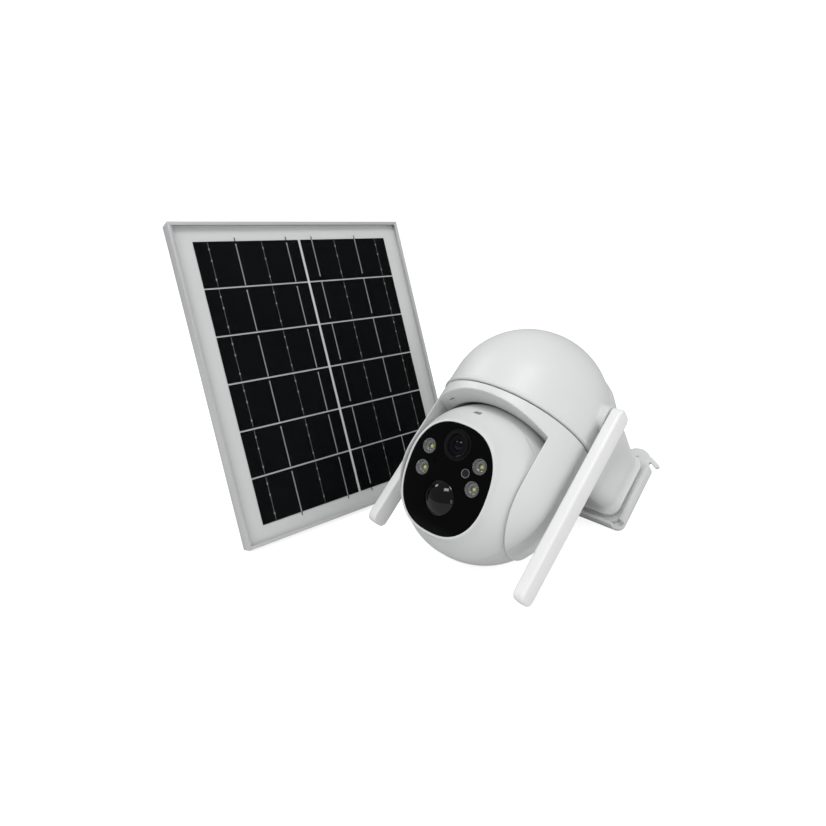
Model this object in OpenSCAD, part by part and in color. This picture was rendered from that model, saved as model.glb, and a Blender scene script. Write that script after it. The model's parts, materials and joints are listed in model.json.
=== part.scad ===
// Solar-powered pan and tilt security camera with its separate solar panel.
// The camera lies on the table on its ball and on its wall bracket, with its
// lens towards -Y, and the panel stands behind it on its own small stand.
// +Z is up. The origin is on the table, under the middle of the whole set.
// Lengths are in millimetres and angles in degrees.

/* [Placing on the table] */
// Centre of the camera's ball: left or right
camera_x = 36.2; // [30:0.1:42]
// Centre of the camera's ball: front to back
camera_y = -53.8; // [-60:0.1:-48]
// Turn of the lying camera about the vertical
camera_turn = -46.4; // [-50:0.1:-42]
// How far the camera's own upright leans over
camera_lean = 46.6; // [46:0.1:46.6]
// Centre of the panel's cells: left or right
panel_x = -67.5; // [-74:0.1:-64]
// Centre of the panel's cells: front to back
panel_y = 32.9; // [26:0.1:46]
// Turn of the panel about the vertical
panel_turn = 40.6; // [38:0.1:43]
// How far the panel leans back
panel_lean = 20.9; // [18:0.1:24]

/* [Head] */
// Radius of the ball
ball_r = 50; // [49:0.1:50.2]
// Pan of the head at rest
pan_rest = 7.4; // [0:0.1:15]
// Tilt of the head below level at rest
tilt_rest = 23.5; // [15:0.1:30]
// Half width of the black window
window_a = 28.1; // [26:0.1:29]
// Half height of the black window
window_b = 32; // [30:0.1:33]
// Distance from the tilt axis to the window's front
window_y = 43.9; // [43:0.1:44.5]
// Height of the window's centre above the tilt axis
window_z = 1; // [0:0.1:2]
// Thickness of the window
window_t = 2; // [1.5:0.1:2.5]
// Height of the lens above the tilt axis
lens_z = 21; // [20:0.1:22]
// Radius of the lens barrel
lens_r = 7.4; // [6.5:0.1:7.6]
// How far the lens barrel stands out of the window
lens_proud = 1.2; // [0.5:0.1:1.4]
// Half spacing of the lamps across the window
lamp_x = 17.9; // [17:0.1:18.5]
// Heights of the two rows of lamps
lamp_rows = [14.5, 1.3]; // [-5:0.1:20]
// Outer radius of a lamp's reflector
lamp_r = 4.5; // [4:0.1:4.8]
// Height of the motion sensor's lens (negative is below the axis)
pir_z = -10.9; // [-12:0.1:-10]
// Base radius of the motion sensor's lens
pir_r = 10; // [9:0.1:10.5]
// Height of the motion sensor's lens over the window
pir_h = 4.7; // [4:0.1:5]

/* [Yoke] */
// Outer radius of the yoke
yoke_r = 52.2; // [52.1:0.1:52.4]
// Inner face of the arms, from the middle
arm_x = 38.8; // [38.7:0.1:39.5]
// Height of the arch over the head at its middle
arch_z = 37; // [36.5:0.1:38]
// How much lower the arch is at the arms
arch_drop = 6.5; // [5:0.1:8]
// Plane where the front and rear shells meet
yoke_seam_y = -9.5; // [-10:0.1:-9]

/* [Base housing] */
// Radius of the dome
dome_r = 52.6; // [52.4:0.1:53]
// Height of the dome's centre above the tilt axis
dome_z = 57; // [56:0.1:58]
// Height of the dome's lower rim
rim_z = 42.4; // [42.2:0.1:43]
// Wall of every moulded shell
wall = 2.4; // [2:0.1:2.6]
// Plane of the neck's open end
neck_y = 91.8; // [91.5:0.1:92]
// Half width of the neck
neck_x = 44; // [43:0.1:45]
// Underside of the neck
neck_z0 = 40; // [39.5:0.1:40.5]
// Top of the neck at its open end
neck_z1 = 86; // [85:0.1:87]

/* [Antennas] */
// Distance of an antenna's middle plane from the camera's middle
antenna_x = 60; // [59.8:0.1:61]
// Height of the antenna hinges
antenna_z = 64.9; // [64:0.1:66]
// Hinge to the centre of the rounded tip
antenna_len = 111.5; // [100:0.5:120]
// Half width of the blade
antenna_r = 7; // [6:0.1:7.5]
// Thickness of the blade
antenna_t = 7; // [6:0.1:7]

/* [Solar panel] */
// Outer width
panel_w = 187; // [186:0.5:190]
// Outer height
panel_h = 217; // [216:0.5:220]
// Depth of the frame
panel_t = 10; // [9.5:0.1:10]
// Width of one cell strip
cell_w = 78; // [77:0.1:78]
// Height of one cell strip
cell_h = 31.2; // [31:0.1:31.4]
// Gap between the two columns
cell_gap_x = 2; // [1.5:0.1:2.5]
// Gap between rows
cell_gap_y = 1; // [0.8:0.1:1.2]

/* [Hidden] */

$fn = 64;
gap = 0.3;                    // clearance between pieces that move apart
fit = 0.05;                   // radial clearance of a running fit
tiny = 0.01;

camera_z = ball_r;            // the ball rests on the table
bezel = 1.4;                  // white rim round the window
window_n = 2.4;               // exponent of the window's outline
head_x = arm_x - 0.4;         // flat sides of the head
head_seam_y = 14;             // plane where the head's shells meet
nose_root_y = -24;            // back of the nose, inside the ball
nose_spread = 1.25;           // size of the nose's back against its front
cradle_r = ball_r + 2;        // hollow in the yoke over the ball
cradle_wall = 2.2;
yoke_top_z = rim_z - 0.5;     // top of the yoke's visible band
pivot_r = 6;                  // radius of the tilt pins
hub_r = 9;                    // radius of the pan hub
lens_seat_y = -41.9;          // where the lens glass sits in its barrel
chassis_z = 54.6;             // underside of the chassis plate
chassis_t = 2.2;

gear_m = 0.8;                 // module of all four gears
pan_teeth = 48;
tilt_teeth = 36;
pinion_teeth = 12;
mesh_slack = 0.12;            // added to each centre distance
pan_mesh = gear_m * (pan_teeth + pinion_teeth) / 2 + mesh_slack;
tilt_mesh = gear_m * (tilt_teeth + pinion_teeth) / 2 + mesh_slack;

cover_y = neck_y + 0.6;       // inner face of the rear cover
cover_t = 3.2;
cover_x = 48.8;
cover_z0 = 34.5;
cover_z1 = 88;
cover_screw_x = 38.5;
cover_screw_z = [45.5, 81];
bracket_y = 96;               // inner face of the wall bracket
bracket_t = 3;
bracket_x = 51.8;
bracket_z0 = 32.1;
bracket_z1 = 86;
bracket_hole_r = 2.25;
bracket_holes = [[38, 88], [-38, 88], [38, 52], [-38, 52]];

cell_r = 9.2;                 // 18650 cells
cell_len = 65;
battery_spots = [[62.9, 54.4], [62.9, 73.3], [81.8, 73.3]];
port_x = -14;
port_y = 80;
button_y = 80;
power_x = 8;
reset_x = 18;
flap_y = port_y - 6;          // hinge of the port's flap
board_z = 48.6;               // underside of the switch board
board_posts = [[-21.5, 84], [23.8, 76]];
press = 1;                    // travel of the buttons

glass_t = 2.4;
lip_t = 1;                    // front lip of the frame
lip_w = 2.3;
rail_wall = 1.4;
rail_flange = 11;
glass_z = -lip_t;
cells_z = glass_z - glass_t - 0.1;
cell_t = 0.3;
sheet_z = cells_z - cell_t - 0.1;
sheet_t = 0.6;
bar_y = -20;                  // crossbar and stand, below the panel's middle
ball_joint_r = 9;
ball_joint_z = -30;           // ball of the stand, behind the panel's front
socket_droop = 45;            // the socket points down from the panel's back
stem_r = 6;
foot_r = 32;
foot_t = 5;
foot_pcd = 48;
foot_hole_r = 2.3;

white = [0.86, 0.87, 0.86];
black = [0.05, 0.05, 0.055];
steel = [0.7, 0.7, 0.72];
green = [0.08, 0.3, 0.16];
silver = [0.78, 0.79, 0.8];

// ---------- placing ----------
module at_camera() {
    translate([camera_x, camera_y, camera_z]) rotate([-camera_lean, 0, camera_turn]) children();
}
module at_yoke() {
    at_camera() rotate([0, 0, pan_rest]) children();
}
module at_head() {
    at_yoke() rotate([tilt_rest, 0, 0]) children();
}
// The panel's height makes its rear bottom edge touch the table.
panel_z = panel_h / 2 * cos(panel_lean) + panel_t * sin(panel_lean);
module at_panel() {
    translate([panel_x, panel_y, panel_z]) rotate([90 - panel_lean, 0, panel_turn]) children();
}
// The stand is upright under its ball.
stand_h = panel_z + bar_y * cos(panel_lean) + ball_joint_z * sin(panel_lean);
stand_back = bar_y * sin(panel_lean) - ball_joint_z * cos(panel_lean);
module at_stand() {
    translate([panel_x - stand_back * sin(panel_turn), panel_y + stand_back * cos(panel_turn), stand_h])
        rotate([0, 0, panel_turn]) children();
}

// ---------- helpers ----------
module along_x(x0, x1, r) {
    translate([x0, 0, 0]) rotate([0, 90, 0]) cylinder(r = r, h = x1 - x0);
}
module along_y(y0, y1, r) {
    translate([0, y0, 0]) rotate([-90, 0, 0]) cylinder(r = r, h = y1 - y0);
}
module box(x0, x1, y0, y1, z0, z1) {
    translate([x0, y0, z0]) cube([x1 - x0, y1 - y0, z1 - z0]);
}
module both_sides() {
    children();
    mirror([1, 0, 0]) children();
}
// Rounded upright slab, thick along y
module slab(half_x, z0, z1, r, y0, y1) {
    translate([0, y1, 0]) rotate([90, 0, 0]) linear_extrude(y1 - y0) hull()
        for (x = [-half_x + r, half_x - r], z = [z0 + r, z1 - r]) translate([x, z]) circle(r = r, $fn = 32);
}
// Outline of the window, grown by g
function window_outline(g) = [for (i = [0 : 71])
    let (t = i * 5, c = cos(t), s = sin(t))
    [(window_a + g) * sign(c) * pow(abs(c), 2 / window_n),
     window_z + (window_b + g) * sign(s) * pow(abs(s), 2 / window_n)]];
module window_slab(g, y0, y1) {
    translate([0, y1, 0]) rotate([90, 0, 0]) linear_extrude(y1 - y0) polygon(window_outline(g));
}

// Involute spur gear with a tooth on its +y side
function inv(a) = tan(a) * 180 / PI - a;
function flank(r, teeth) = 90 / teeth - 0.06 / r * 180 / PI + inv(20)
    - inv(acos(min(1, gear_m * teeth / 2 * cos(20) / r)));
function tooth(k, teeth, radii) = let (mid = 90 + k * 360 / teeth) concat(
    [for (r = radii) [r * cos(mid - flank(r, teeth)), r * sin(mid - flank(r, teeth))]],
    [for (i = [len(radii) - 1 : -1 : 0]) let (r = radii[i])
        [r * cos(mid + flank(r, teeth)), r * sin(mid + flank(r, teeth))]]);
module gear(teeth, thick, bore) {
    base_r = gear_m * teeth / 2 * cos(20);
    root_r = gear_m * (teeth / 2 - 1.2);
    tip_r = gear_m * (teeth / 2 + 0.9);
    low_r = max(root_r, base_r);
    radii = [root_r, low_r + 0.02, (2 * low_r + tip_r) / 3, (low_r + 2 * tip_r) / 3, tip_r];
    linear_extrude(thick) difference() {
        polygon([for (k = [0 : teeth - 1]) each tooth(k, teeth, radii)]);
        if (bore > 0) circle(r = bore);
    }
}

// ---------- base of the camera ----------
module dome_form(r, z0) {
    translate([0, 0, z0]) cylinder(r = r, h = dome_z - z0);
    intersection() {
        translate([0, 0, dome_z]) sphere(r = r);
        translate([0, 0, dome_z - tiny]) cylinder(r = r + 1, h = r + 2);
    }
}
module neck_form(g, y1) {
    hull() {
        slab(neck_x - 2 - g, neck_z0 + g, 93 - g, 18 - g, 20, 21);
        slab(neck_x - g, neck_z0 + g, neck_z1 - g, 9 - g, y1 - 1, y1);
    }
}
module yoke_room() {
    translate([0, 0, rim_z - 20]) cylinder(r = yoke_r + 1, h = 20.2);
}
module base_housing() {
    color(white) at_camera() difference() {
        union() {
            dome_form(dome_r, rim_z);
            translate([0, 0, rim_z + 1.4]) rotate_extrude() translate([dome_r - 1, 0]) circle(r = 1.4);
            difference() {
                neck_form(0, neck_y);
                yoke_room();
            }
            slab(neck_x + 2.5, neck_z0 - 2.5, neck_z1 + 1, 9, neck_y - 2.6, neck_y);
            translate([0, 0, antenna_z]) both_sides() along_x(47, antenna_x - antenna_t / 2 - 0.5, 8.5);
        }
        difference() {
            union() {
                dome_form(dome_r - wall, rim_z - 1);
                difference() {
                    neck_form(wall, neck_y + 1);
                    translate([0, 0, rim_z - 20]) cylinder(r = yoke_r + 1 + wall, h = 20.2 + wall);
                }
            }
            for (x = [-1, 1], z = cover_screw_z) translate([x * cover_screw_x, 0, z])
                along_y(neck_y - 12, neck_y, 3.6);
            translate([0, 0, antenna_z]) both_sides() along_x(47, 56, 8.5);
            for (p = board_posts) translate([p[0], p[1], neck_z0])
                cylinder(r = 1.8, h = board_z - neck_z0 - 0.02);
        }
        for (x = [-1, 1], z = cover_screw_z) translate([x * cover_screw_x, 0, z])
            along_y(neck_y - 10, neck_y + 1, 1.25);
        translate([0, 0, antenna_z]) both_sides() along_x(40, 60, 2.5);
        box(port_x - 5.2, port_x + 5.2, port_y - 2.5, port_y + 2.5, neck_z0 - 1, neck_z0 + wall + 1);
        translate([power_x, button_y, neck_z0 - 1]) cylinder(r = 3 + gap, h = 5);
        translate([reset_x, button_y, neck_z0 - 1]) cylinder(r = 1.5 + gap, h = 5);
    }
    // lugs and pin of the port's flap
    color(white) at_camera() for (x = [port_x - 10.2, port_x + 8.8])
        box(x, x + 1.4, flap_y - 1.2, flap_y + 1.2, neck_z0 - 2.7, neck_z0 + 0.1);
    color(white) at_camera() translate([0, flap_y, neck_z0 - 1.5]) along_x(port_x - 9.5, port_x + 9.5, 0.45);
}
module rear_gasket() {
    color(black) at_camera() difference() {
        slab(neck_x - 0.4, neck_z0 + 0.4, neck_z1 - 0.4, 8.6, neck_y + tiny, cover_y - tiny);
        slab(neck_x - 2, neck_z0 + 2, neck_z1 - 2, 7, neck_y - 1, cover_y + 1);
    }
}
module dovetail(g, z0, z1) {
    translate([0, 0, z0]) linear_extrude(z1 - z0)
        polygon([[-10 - g, cover_y + cover_t - 0.6], [10 + g, cover_y + cover_t - 0.6],
                 [12.5 + g, bracket_y + bracket_t - 0.2 + g], [-12.5 - g, bracket_y + bracket_t - 0.2 + g]]);
}
module rear_cover() {
    color(white) at_camera() difference() {
        union() {
            slab(cover_x, cover_z0, cover_z1, 8, cover_y, cover_y + cover_t);
            box(-6, 6, 87.6, cover_y + 0.5, cover_z0 + tiny, 37.2);
            dovetail(0, 50, 80);
        }
        translate([0, 92.6, cover_z0 - 1]) cylinder(r = 2 + fit, h = 9);
        for (x = [-1, 1], z = cover_screw_z) translate([x * cover_screw_x, 0, z]) {
            along_y(cover_y - 1, cover_y + 5, 1.6);
            along_y(cover_y + 1.4, cover_y + 5, 3);
        }
    }
}
module rear_cover_screws() {
    color(steel) at_camera() for (x = [-1, 1], z = cover_screw_z) translate([x * cover_screw_x, 0, z])
        difference() {
            union() {
                along_y(neck_y - 8, cover_y + 1.6, 1.24);
                along_y(cover_y + 1.42, cover_y + 3.1, 2.8);
            }
            translate([0, cover_y + 1.9, 0]) rotate([-90, 0, 0]) cylinder(r = 1.2, h = 3, $fn = 6);
        }
}
module wall_bracket() {
    color(white) at_camera() difference() {
        union() {
            slab(bracket_x, bracket_z0, bracket_z1, 5, bracket_y, bracket_y + bracket_t);
            both_sides() {
                translate([38, 0, 86]) along_y(bracket_y, bracket_y + bracket_t, 11);
                box(cover_x + 0.4, bracket_x, 90, bracket_y + 1, 38, 82);
                // finger of the lifting hook
                hull() {
                    translate([47.5, 0, 91]) along_y(bracket_y, bracket_y + bracket_t, 1.6, $fn = 24);
                    translate([53.6, 0, 87.4]) along_y(bracket_y, bracket_y + bracket_t, 1.6, $fn = 24);
                }
            }
            box(-46, 46, 89.4, bracket_y + 1, bracket_z0, cover_z0 - gap);
        }
        for (p = bracket_holes) translate([p[0], 0, p[1]])
            along_y(bracket_y - 1, bracket_y + bracket_t + 1, bracket_hole_r);
        dovetail(gap, 49.6, 120);
        translate([0, 92.6, bracket_z0 - 1]) cylinder(r = 2 + fit, h = 4);
        both_sides() hull() {
            translate([51.4, 0, 84.6]) along_y(bracket_y - 1, bracket_y + bracket_t + 1, 1.1, $fn = 24);
            translate([48.6, 0, 87.6]) along_y(bracket_y - 1, bracket_y + bracket_t + 1, 0.9, $fn = 24);
        }
    }
}
module bracket_screw() {
    color(steel) at_camera() translate([0, 92.6, 0]) difference() {
        union() {
            translate([0, 0, bracket_z0 - 2.2]) cylinder(r = 3.2, h = 2.19);
            translate([0, 0, bracket_z0 - 0.2]) cylinder(r = 2, h = 5);
        }
        translate([-4, -0.5, bracket_z0 - 3]) cube([8, 1, 1.6]);
    }
}
module battery_cells() {
    color([0.2, 0.45, 0.7]) at_camera() for (p = battery_spots) translate([0, p[0], p[1]]) {
        along_x(-cell_len / 2, cell_len / 2 - 1.2, cell_r);
        along_x(cell_len / 2 - 1.3, cell_len / 2, 3.2);
    }
}
module battery_holder() {
    color([0.12, 0.12, 0.13]) at_camera() difference() {
        union() {
            both_sides() box(33, 34.7, 54.2, 90.6, 64.2, 82.4);
            both_sides() box(33, 34.7, 54.2, 71.8, 45.6, 64.5);
            box(-33.5, 33.5, 71.9, 72.8, 46.5, 82);
        }
        for (p = battery_spots) translate([0, p[0], p[1]])
            along_x(-cell_len / 2 - 0.2, cell_len / 2 + 0.2, cell_r + 0.15);
    }
}
module main_board() {
    color(green) at_camera() {
        translate([0, 0, 88]) cylinder(r = 33, h = 1.6);
        box(-14, 8, -12, 10, 89.5, 91.2);
        box(12, 24, -8, 8, 89.5, 92);
        box(-10, 10, 18, 25, 89.5, 94);
        box(-27, -18, -6, 10, 89.5, 91);
        translate([2, -22, 89.5]) cylinder(r = 4, h = 5);
    }
}
module switch_board() {
    color(green) at_camera() {
        box(-24, 26, 73.4, 86.6, board_z, board_z + 1.2);
        for (x = [power_x, reset_x])
            box(x - 2.4, x + 2.4, button_y - 2.4, button_y + 2.4, board_z - 3, board_z + 0.1);
    }
}
module charge_port() {
    color(steel) at_camera() difference() {
        box(port_x - 4.6, port_x + 4.6, port_y - 1.75, port_y + 1.75, 41.2, board_z - 0.02);
        box(port_x - 4.2, port_x + 4.2, port_y - 1.35, port_y + 1.35, 40, 47);
    }
}
module port_flap() {
    color([0.8, 0.81, 0.8]) at_camera() {
        difference() {
            union() {
                box(port_x - 8.5, port_x + 8.5, port_y - 5.2, port_y + 5.4, neck_z0 - 1.8, neck_z0 - 0.3);
                translate([0, flap_y, neck_z0 - 1.5]) along_x(port_x - 8.5, port_x + 8.5, 1.2);
            }
            translate([0, flap_y, neck_z0 - 1.5]) along_x(port_x - 9, port_x + 9, 0.45 + fit);
        }
        box(port_x - 4.6, port_x + 4.6, port_y - 1.9, port_y + 1.9, neck_z0 - 0.5, neck_z0 + 0.9);
    }
}
module button(x, r) {
    color([0.75, 0.76, 0.76]) at_camera() translate([x, button_y, neck_z0 - 0.8]) {
        cylinder(r = r, h = 4.2);
        translate([0, 0, wall + 0.9]) cylinder(r = r + 1, h = 0.8);
        cylinder(r = r - 0.5, h = 6.4 - press - 0.2);
    }
}
module power_button() {
    button(power_x, 3);
}
module reset_button() {
    button(reset_x, 1.5);
}

// ---------- antennas ----------
module antenna_pins() {
    color(steel) at_camera() translate([0, 0, antenna_z]) both_sides() {
        along_x(46.5, antenna_x + 1, 2.48);
        along_x(45, 46.9, 4.5);
    }
}
module blade(g, top) {
    hull() {
        translate([0, 0, top]) along_x(-antenna_t / 2 + g, antenna_t / 2 - g, antenna_r - g);
        translate([0, 0, -antenna_len]) along_x(-antenna_t / 2 + g, antenna_t / 2 - g, antenna_r - g);
    }
}
module antenna() {
    difference() {
        blade(0, 0);
        intersection() {
            blade(1.3, 0);
            box(-20, 20, -20, 20, -antenna_len - 20, -12);
        }
        along_x(-antenna_t, 1.3, 2.5 + fit);
    }
}
module antenna_left() {
    color(white) at_camera() translate([-antenna_x, 0, antenna_z]) mirror([1, 0, 0]) antenna();
}
module antenna_right() {
    color(white) at_camera() translate([antenna_x, 0, antenna_z]) antenna();
}
module antenna_element() {
    box(-0.5, 0.5, -4, 4, -100, -20);
    box(-1.5, 1.5, -1.5, 1.5, -21, -13);
}
module antenna_element_left() {
    color("goldenrod") at_camera() translate([-antenna_x, 0, antenna_z]) antenna_element();
}
module antenna_element_right() {
    color("goldenrod") at_camera() translate([antenna_x, 0, antenna_z]) antenna_element();
}

// ---------- pan drive ----------
module base_chassis() {
    color([0.75, 0.75, 0.74]) at_camera() difference() {
        union() {
            translate([0, 0, chassis_z]) cylinder(r = dome_r - wall - 0.1, h = chassis_t);
            for (x = [-17.5, 17.5]) translate([x, pan_mesh, chassis_z + 1]) cylinder(r = 3, h = 10.4);
            for (p = [[26, -14], [-26, -14], [0, -29]]) translate([p[0], p[1], chassis_z + 1])
                cylinder(r = 2.5, h = 88 - chassis_z - 1);
        }
        translate([0, 0, chassis_z - 1]) cylinder(r = hub_r + fit, h = 6);
        translate([32, 18, chassis_z - 1]) cylinder(r = 3, h = 6);
        // notches under the antenna bosses
        both_sides() box(45, 60, -10, 10, chassis_z - 1, chassis_z + 5);
    }
}
module pan_motor() {
    color(steel) at_camera() translate([0, pan_mesh, 66.1]) difference() {
        union() {
            cylinder(r = 12.5, h = 18);
            for (x = [-17.5, 17.5]) hull() {
                translate([x, 0, 0]) cylinder(r = 3.2, h = 1, $fn = 32);
                translate([x * 0.5, 0, 0]) cylinder(r = 3.2, h = 1, $fn = 32);
            }
        }
        translate([0, 0, -1]) cylinder(r = 2 + fit, h = 8);
    }
}
module pinion() {
    rotate([0, 0, 180 / pinion_teeth]) gear(pinion_teeth, 4, 0);
    cylinder(r = 2, h = 12);
}
module pan_pinion() {
    color("white") at_camera() translate([0, pan_mesh, 57.6]) pinion();
}
module pan_gear() {
    color("white") at_camera() translate([0, 0, 57.4]) gear(pan_teeth, 4, hub_r);
}
module pan_retainer() {
    color([0.6, 0.6, 0.6]) at_camera() translate([0, 0, 61.42]) difference() {
        cylinder(r = 12, h = 2.4);
        translate([0, 0, -1]) cylinder(r = hub_r, h = 5);
    }
}

// ---------- yoke ----------
module capsule(r) {
    cylinder(r = r, h = yoke_top_z);
    intersection() {
        sphere(r = r);
        translate([0, 0, -r - 1]) cylinder(r = r + 1, h = r + 1 + tiny);
    }
}
// Opening that the head fills: arched at the top and right through
module head_opening() {
    arch_r = (arm_x * arm_x + arch_drop * arch_drop) / (2 * arch_drop);
    translate([0, 70, 0]) rotate([90, 0, 0]) linear_extrude(140) intersection() {
        translate([-arm_x, -60]) square([2 * arm_x, 60 + arch_z]);
        translate([0, arch_z - arch_r]) circle(r = arch_r, $fn = 180);
    }
}
module yoke_form() {
    difference() {
        union() {
            difference() {
                capsule(yoke_r);
                sphere(r = cradle_r);
                head_opening();
            }
            // arms, filled out to their flat inner faces
            difference() {
                intersection() {
                    capsule(yoke_r);
                    both_sides() box(arm_x, 60, -60, 60, -60, arch_z + 2);
                }
                intersection() {
                    union() {
                        cylinder(r = yoke_r - wall, h = 29);
                        intersection() {
                            sphere(r = yoke_r - wall);
                            box(-60, 60, -60, 60, -60, tiny);
                        }
                    }
                    both_sides() box(arm_x + 2.2, 60, -60, 60, -60, 29);
                }
            }
            // collar and bowl hidden inside the dome
            difference() {
                translate([0, 0, yoke_top_z - 1]) cylinder(r = dome_r - wall - 0.8, h = 7);
                translate([0, 0, yoke_top_z - 2]) cylinder(r = dome_r - 2 * wall - 0.8, h = 12);
            }
            intersection() {
                sphere(r = cradle_r + cradle_wall);
                translate([0, 0, yoke_top_z - 4]) cylinder(r = dome_r - 2 * wall - 0.6, h = 30);
            }
            cylinder(r = hub_r, h = 64);
        }
        intersection() {
            sphere(r = cradle_r);
            box(-arm_x, arm_x, -60, 60, -60, 60);
        }
        // pocket between the bowl and the collar
        difference() {
            translate([0, 0, 40.4]) cylinder(r = dome_r - 2 * wall - 0.8, h = 30);
            sphere(r = cradle_r + cradle_wall);
            cylinder(r = hub_r, h = 80);
        }
        cylinder(r = 5, h = 80);
        both_sides() along_x(arm_x - 1, arm_x + 3, pivot_r);
    }
}
module yoke_front_shell() {
    color(white) at_yoke() difference() {
        intersection() {
            yoke_form();
            box(-60, 60, -60, yoke_seam_y, -60, 90);
        }
        // slit in the ledge over the head
        translate([-30.3, -34.2, 33]) rotate([0, 0, -32]) cube([5.2, 1.3, 6], center = true);
    }
}
module yoke_rear_shell() {
    color([0.8, 0.81, 0.8]) at_yoke() intersection() {
        yoke_form();
        box(-60, 60, yoke_seam_y + tiny, 60, -60, 90);
    }
}
module tilt_pins() {
    color(steel) at_yoke() {
        difference() {
            union() {
                along_x(27.5, arm_x + 2.4, pivot_r - 0.02);
                along_x(arm_x + 2.22, arm_x + 4, pivot_r + 3);
            }
            along_x(20, 50, 3.4);
        }
        mirror([1, 0, 0]) difference() {
            union() {
                along_x(33, arm_x + 2.4, pivot_r - 0.02);
                along_x(arm_x + 2.22, arm_x + 4, pivot_r + 3);
            }
            along_x(20, 50, 3.4);
        }
    }
}
module tilt_gear() {
    color("white") at_head() translate([28.2, 0, 0]) rotate([90, 0, 90]) rotate([0, 0, -90])
        gear(tilt_teeth, 3.6, pivot_r);
}

// ---------- head ----------
// Tapered nose that carries the window, wider towards its root inside the ball
module nose() {
    front_y = -window_y - 0.3;
    translate([0, nose_root_y, window_z]) rotate([90, 0, 0])
        linear_extrude(nose_root_y - front_y, scale = 1 / nose_spread) scale(nose_spread)
            translate([0, -window_z]) polygon(window_outline(bezel));
}
module head_shell() {
    difference() {
        union() {
            difference() {
                intersection() {
                    union() {
                        sphere(r = ball_r);
                        nose();
                    }
                    box(-head_x, head_x, -80, 80, -80, 80);
                }
                intersection() {
                    sphere(r = ball_r - wall);
                    box(-head_x + wall, head_x - wall, -80, 80, -80, 80);
                }
            }
            both_sides() along_x(33.5, head_x - 1, pivot_r + 2.6);
        }
        both_sides() along_x(30, 40, pivot_r + 0.03);
    }
}
module head_front_shell() {
    color(white) at_head() difference() {
        intersection() {
            head_shell();
            box(-60, 60, -60, head_seam_y, -60, 60);
        }
        window_slab(0.15, -60, -window_y + window_t);
        window_slab(-1.6, -60, -30);
        // microphone slot
        rotate([-55, 0, 0]) box(-5.2, -0.4, -55, -45, -1.6, 1.6);
        card_cut(gap);
    }
}
module head_rear_shell() {
    color(white) at_head() difference() {
        intersection() {
            head_shell();
            box(-60, 60, head_seam_y + tiny, 60, -60, 60);
        }
        // speaker holes
        for (x = [-6, 0, 6], z = [6, 12, 18]) translate([x, 0, z]) along_y(30, 60, 1);
        card_cut(gap);
    }
}
// Block that cuts the card door out of the ball's underside
module card_cut(g) {
    box(-13 - g, 13 + g, -6 - g, 9 + g, -60, -40);
}
module card_slot() {
    color(green) at_head() difference() {
        union() {
            box(-12, 12, -5, 8, -41.9, -40.7);
            box(-10, 10, -4, 7, -45.4, -41.8);
        }
        box(-8, 8, -2.6, -1.4, -50, -42.6);
        box(-7, 7, 2.4, 3.6, -50, -42.6);
    }
}
module card_door() {
    color([0.82, 0.83, 0.82]) at_head() {
        intersection() {
            difference() {
                sphere(r = ball_r);
                sphere(r = ball_r - 2);
            }
            box(-13, 13, -6, 9, -60, -40);
        }
    }
}
module face_window() {
    color(black) at_head() difference() {
        window_slab(0, -window_y, -window_y + window_t - tiny);
        translate([0, 0, lens_z]) along_y(-50, -30, lens_r + 0.2);
        translate([0, -window_y - tiny, lens_z]) rotate([-90, 0, 0])
            cylinder(r1 = lens_r + 1.6, r2 = lens_r, h = 1.5);
        for (x = [-lamp_x, lamp_x], z = lamp_rows) translate([x, 0, z]) along_y(-50, -30, lamp_r + 0.1);
        translate([0, 0, pir_z]) along_y(-50, -30, pir_r + 0.1);
        translate([10.9, 0, 8]) along_y(-50, -30, 2.7);
        translate([-10.3, 0, 7.6]) along_y(-50, -30, 0.6);
    }
}
module lens_barrel() {
    color([0.03, 0.03, 0.03]) at_head() translate([0, 0, lens_z]) difference() {
        union() {
            along_y(-window_y - lens_proud, -26, lens_r);
            along_y(-27, -17.2, 6);
            box(-8, 8, -20, -17.2, -8, 8);
        }
        along_y(-50, lens_seat_y, 6);
        along_y(lens_seat_y - 1, -10, 4.6);
    }
}
module lens_glass() {
    // domed front: radius 5.95 at the rim, 1.56 higher in the middle
    color([0.1, 0.12, 0.2, 0.6]) at_head() translate([0, lens_seat_y - 0.02, lens_z]) rotate([90, 0, 0])
        rotate_extrude()
            polygon(concat([[0, 0]], [for (t = [30 : -3 : 0]) [11.9 * sin(t), 11.9 * cos(t) - 9.9]]));
}
module lamp_reflectors() {
    color(silver) at_head() for (x = [-lamp_x, lamp_x], z = lamp_rows) translate([x, 0, z]) difference() {
        along_y(-43.5, -35.3, lamp_r);
        translate([0, -43.6, 0]) rotate([-90, 0, 0]) cylinder(r1 = lamp_r - 0.4, r2 = 2.2, h = 7);
        along_y(-40, -30, 2.2);
    }
}
module lamp_chips() {
    color([0.9, 0.85, 0.4]) at_head() for (x = [-lamp_x, lamp_x], z = lamp_rows) translate([x, 0, z])
        box(-1.4, 1.4, -36.2, -35.32, -1.4, 1.4);
}
module lamp_board() {
    color(green) at_head() difference() {
        window_slab(-4, -35.3, -34.1);
        translate([0, 0, lens_z]) along_y(-50, -30, lens_r + 0.4);
        translate([0, 0, pir_z]) along_y(-50, -30, 5);
    }
}
module sensor_board() {
    color(green) at_head() {
        translate([0, 0, lens_z]) box(-13, 13, -17.18, -15.6, -11, 11);
        translate([0, 0, lens_z]) box(-3.2, 3.2, -18.4, -17.1, -2.6, 2.6);
    }
}
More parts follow.
